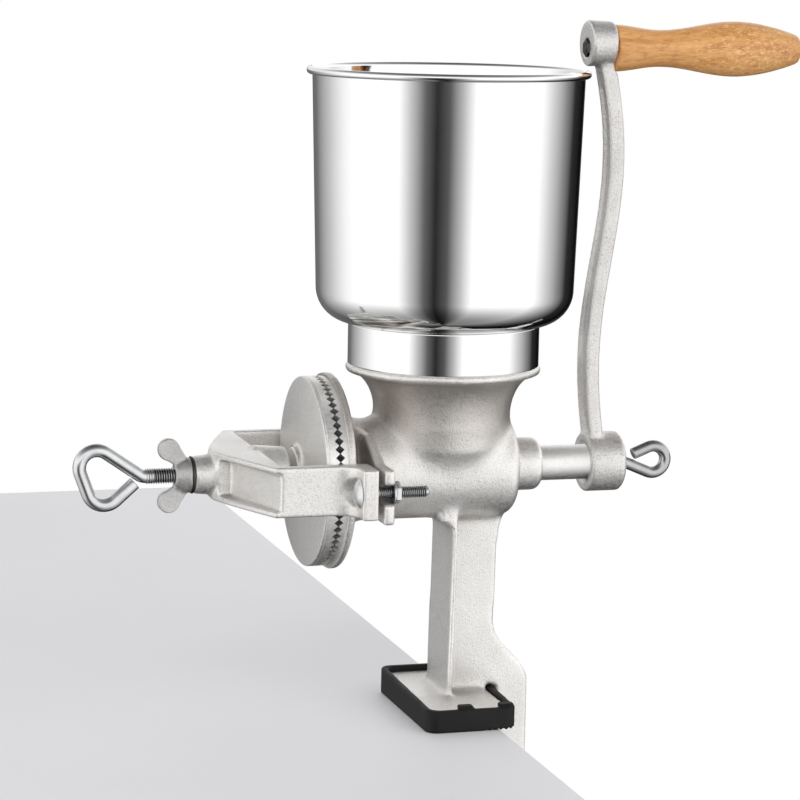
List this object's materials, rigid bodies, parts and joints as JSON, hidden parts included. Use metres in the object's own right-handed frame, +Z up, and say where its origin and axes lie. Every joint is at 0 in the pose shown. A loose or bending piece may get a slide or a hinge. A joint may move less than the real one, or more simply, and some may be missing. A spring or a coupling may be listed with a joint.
{
  "type": "hand grain mill",
  "caption": "Table-clamped hand grain mill: tinned cast body, round steel hopper, feed screw, facing toothed burrs with an adjusting screw, and a crank with a wooden grip.",
  "frame": {"origin": "on the table face under the foot pad, straight below the hopper's axis", "axes": "+X along the shaft towards the crank, +Z up through the hopper, +Y to the back as seen in the picture"},
  "size_m": [0.3892, 0.1476, 0.5084],
  "materials": {
    "cast": "tinned, satin, sandy from the mould",
    "stainless": "mirror polished stainless sheet",
    "zinc_steel": "bright zinc plate",
    "bright_steel": "ground and polished ball",
    "dark_steel": "oiled black steel",
    "wood": "clear lacquer over pale wood",
    "rubber": "moulded, dull"
  },
  "bodies": {
    "mill_body": {"body": "cast", "foot_pad": "rubber", "fixed_burr": "cast", "fixed_burr_screws": "zinc_steel", "bridge": "cast", "bridge_bolts": "zinc_steel", "bridge_washers": "zinc_steel", "bridge_nuts": "zinc_steel"},
    "hopper": {"hopper_drum": "stainless", "hopper_collar": "stainless"},
    "thrust": {"thrust_ball": "bright_steel"},
    "drive": {"feed_screw": "zinc_steel", "drive_pin": "zinc_steel", "disc_carrier": "cast", "turning_burr": "cast", "turning_burr_screws": "zinc_steel", "crank_arm": "cast", "crank_eye_screw": "zinc_steel", "grip_spindle": "dark_steel", "spindle_nut": "dark_steel"},
    "grip": {"wooden_grip": "wood"},
    "adjuster": {"adjusting_screw": "zinc_steel"},
    "lock_washer": {"lock_washer": "dark_steel"},
    "lock_nut": {"lock_wing_nut": "zinc_steel"},
    "clamp_plate": {"pressure_plate": "cast"},
    "clamp_screw": {"clamp_screw": "zinc_steel"}
  },
  "joints": [
    {"name": "hopper_lift", "type": "slide", "parent": "mill_body", "child": "hopper", "axis": [0, 0, 1], "range_m": [0, 0.06]},
    {"name": "gap_adjust", "type": "slide", "parent": "mill_body", "child": "thrust", "axis": [-1, 0, 0], "range_m": [0, 0.0025]},
    {"name": "crank_spin", "type": "hinge", "parent": "thrust", "child": "drive", "pos_m": [0, 0, 0.1315], "axis": [1, 0, 0], "continuous": true},
    {"name": "adjusting_screw_turn", "type": "hinge", "parent": "thrust", "child": "adjuster", "pos_m": [-0.157, 0, 0.1315], "axis": [-1, 0, 0], "range_deg": [-1, 721]},
    {"name": "grip_spin", "type": "hinge", "parent": "drive", "child": "grip", "pos_m": [0.145, 0, 0.3502], "axis": [1, 0, 0], "continuous": true},
    {"name": "lock_washer_slide", "type": "slide", "parent": "mill_body", "child": "lock_washer", "axis": [-1, 0, 0], "range_m": [0, 0.00125]},
    {"name": "lock_nut_turn", "type": "hinge", "parent": "lock_washer", "child": "lock_nut", "pos_m": [-0.14, 0, 0.1315], "axis": [-1, 0, 0], "range_deg": [-1, 361]},
    {"name": "clamp_slide", "type": "slide", "parent": "mill_body", "child": "clamp_plate", "axis": [0, 0, 1], "range_m": [-0.014, 0.024]},
    {"name": "clamp_screw_turn", "type": "hinge", "parent": "clamp_plate", "child": "clamp_screw", "pos_m": [0.006, 0, -0.06], "axis": [0, 0, 1], "range_deg": [-3361, 5761]}
  ],
  "couplings": [
    {"joint": "adjusting_screw_turn", "follows": "gap_adjust", "rad_per_m": 5026.5},
    {"joint": "lock_nut_turn", "follows": "lock_washer_slide", "rad_per_m": 5026.5},
    {"joint": "clamp_screw_turn", "follows": "clamp_slide", "rad_per_m": 4188.8}
  ]
}
